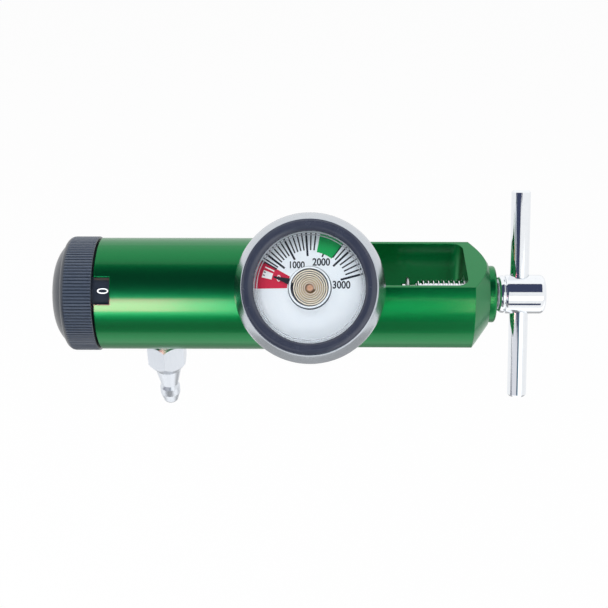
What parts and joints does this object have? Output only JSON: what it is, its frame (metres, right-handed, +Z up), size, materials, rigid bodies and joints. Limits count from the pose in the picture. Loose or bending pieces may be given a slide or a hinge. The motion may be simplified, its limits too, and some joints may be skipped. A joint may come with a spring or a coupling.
{
  "type": "oxygen regulator",
  "caption": "Green anodised oxygen cylinder regulator: pin-index yoke with T-handle, round contents gauge, black click dial for the flow and a barbed hose outlet.",
  "frame": {"origin": "middle of the seat face inside the yoke, on the barrel's axis, where the valve post is clamped", "axes": "+X along the barrel from the seat to the T-handle, +Z up through the yoke's window when the cylinder stands upright, -Y the front, where the gauge looks out tipped 35 degrees upwards"},
  "size_m": [0.1532, 0.0661, 0.084],
  "materials": {
    "green_anodised": "satin anodised, clear green",
    "knob_black": "moulded, slightly glossy",
    "chrome_plate": "polished plating",
    "black_ring": "moulded, glossy",
    "window_clear": "clear",
    "dial_white": "matt print on white",
    "pointer_black": "matt",
    "coil_bronze": "drawn, tarnished light",
    "brass_turned": "turned",
    "bronze_sintered": "sintered, matt",
    "steel_plain": "turned, bright",
    "spring_steel": "drawn wire",
    "aluminium_plain": "turned",
    "seal_rubber": "moulded",
    "seat_nylon": "turned"
  },
  "bodies": {
    "housing": {"regulator_body": "green_anodised", "inlet_nipple": "brass_turned", "inlet_filter": "bronze_sintered", "yoke_washer_ring": "brass_turned", "yoke_washer_seal": "seal_rubber", "index_pins": "steel_plain", "seat_nozzle": "brass_turned", "stem_seal": "seal_rubber", "piston_spring": "spring_steel", "metering_carrier": "aluminium_plain", "carrier_seal": "seal_rubber", "port_seal": "seal_rubber", "bearing_plate": "aluminium_plain", "plate_seal": "seal_rubber", "spindle_seal": "seal_rubber", "detent_ball": "steel_plain", "detent_spring": "spring_steel", "retaining_ring": "spring_steel", "outlet_barb": "chrome_plate", "outlet_washer": "seat_nylon", "gauge_washer": "seat_nylon", "gauge_socket": "brass_turned", "gauge_case": "chrome_plate", "gauge_dial": "dial_white", "gauge_window": "window_clear", "gauge_window_ring": "black_ring", "bourdon_coil": "coil_bronze", "screw_bush": "steel_plain"},
    "selector": {"flow_knob": "knob_black", "knob_cap": "knob_black", "knob_screw": "steel_plain", "selector_spindle": "brass_turned", "orifice_disc": "brass_turned"},
    "pointer": {"gauge_pointer": "pointer_black"},
    "reducing_piston": {"piston": "brass_turned", "piston_seat": "seat_nylon", "piston_seal": "seal_rubber"},
    "clamp_pad": {"pressure_washer": "steel_plain"},
    "clamp_screw": {"t_screw": "chrome_plate", "t_bar": "chrome_plate"}
  },
  "joints": [
    {"name": "flow_select", "type": "hinge", "parent": "housing", "child": "selector", "pos_m": [-0.08, 0, 0], "axis": [1, 0, 0], "continuous": true},
    {"name": "pointer_turn", "type": "hinge", "parent": "housing", "child": "pointer", "pos_m": [-0.008, 0, 0], "axis": [0, -0.8192, 0.5736], "range_deg": [-148, 4]},
    {"name": "piston_slide", "type": "slide", "parent": "housing", "child": "reducing_piston", "axis": [1, 0, 0], "range_m": [0, 0.0006], "stiffness_N_per_m": 1500, "springref_m": -0.003},
    {"name": "screw_travel", "type": "slide", "parent": "housing", "child": "clamp_pad", "axis": [1, 0, 0], "range_m": [-0.00026, 0.01587]},
    {"name": "screw_turn", "type": "hinge", "parent": "clamp_pad", "child": "clamp_screw", "pos_m": [0.05, 0, 0], "axis": [1, 0, 0], "range_deg": [-60, 3600]}
  ],
  "couplings": [
    {"joint": "screw_turn", "follows": "screw_travel", "rad_per_m": 3957.9}
  ]
}
